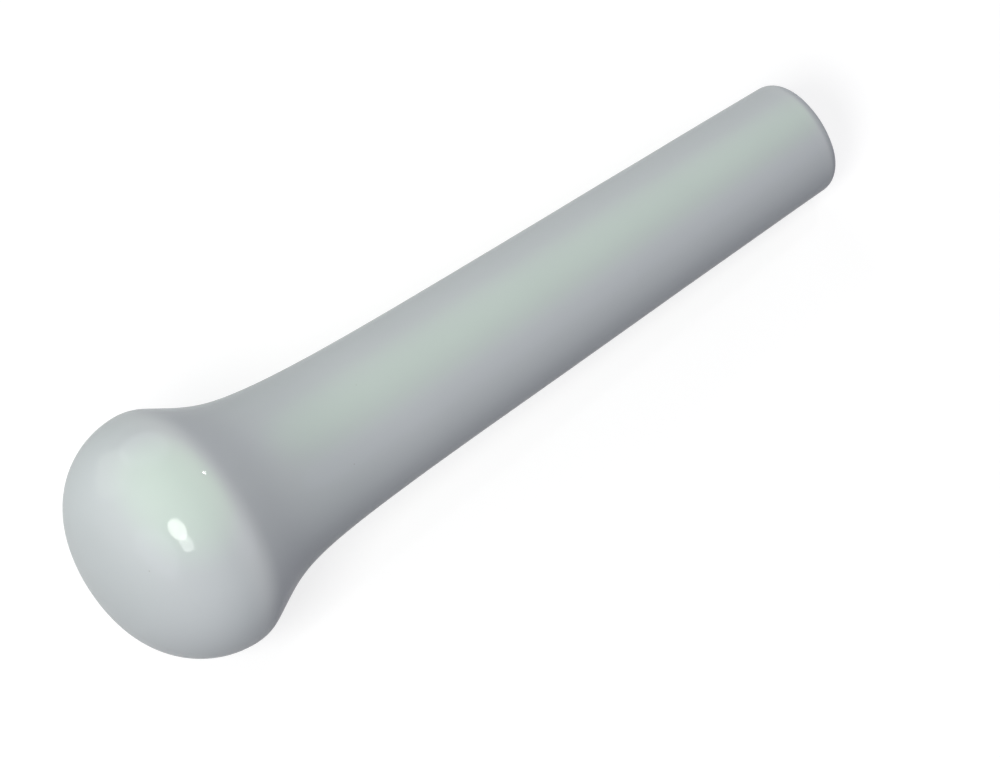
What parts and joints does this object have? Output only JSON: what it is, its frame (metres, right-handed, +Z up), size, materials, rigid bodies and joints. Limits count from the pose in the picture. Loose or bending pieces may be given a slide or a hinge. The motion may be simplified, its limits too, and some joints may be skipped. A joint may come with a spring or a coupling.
{
  "type": "pestle",
  "caption": "Glazed porcelain pestle with a broad domed grinding head, a flaring neck and a long tapered round handle.",
  "frame": {"origin": "on the surface that the pestle lies on, in the middle of its length and width", "axes": "+Z up; +X from the grinding head to the end of the handle, level; the pestle's own axis slopes down to +X by 4.84 degrees, so that the back of the head's rim and the edge of the handle's end both rest on the surface"},
  "size_m": [0.2103, 0.0598, 0.0598],
  "materials": {
    "fired_clay": "unglazed, fine and matte",
    "celadon_glaze": "smooth gloss, pale grey with a faint green"
  },
  "bodies": {
    "root": {"porcelain_body": "fired_clay", "glaze_coat": "celadon_glaze"}
  },
  "joints": []
}
